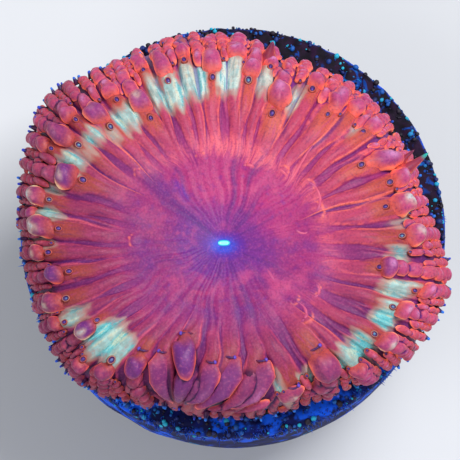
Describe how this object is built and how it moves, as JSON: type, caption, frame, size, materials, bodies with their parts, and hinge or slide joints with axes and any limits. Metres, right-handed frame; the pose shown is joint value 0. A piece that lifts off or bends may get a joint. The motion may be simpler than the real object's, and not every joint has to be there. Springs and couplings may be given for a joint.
{
  "type": "blastomussa coral frag",
  "caption": "Single fleshy coral polyp with beaded radial lobes around a small mouth, grown on a round ceramic frag plug with a stem that stands in a rack hole.",
  "frame": {"origin": "centre of the flat end of the plug's stem, on the plug's axis", "axes": "+Z up along the plug's axis through the coral; +Y towards the side where the plug's top shows behind the coral; +X to the right as the coral is seen from above with +Y up"},
  "size_m": [0.0251, 0.025, 0.0218],
  "materials": {
    "polyp_flesh": "moist, satin",
    "crusted_ceramic": "matte, unglazed, overgrown"
  },
  "bodies": {
    "root": {"coral_polyp": "polyp_flesh", "frag_plug": "crusted_ceramic"}
  },
  "joints": []
}
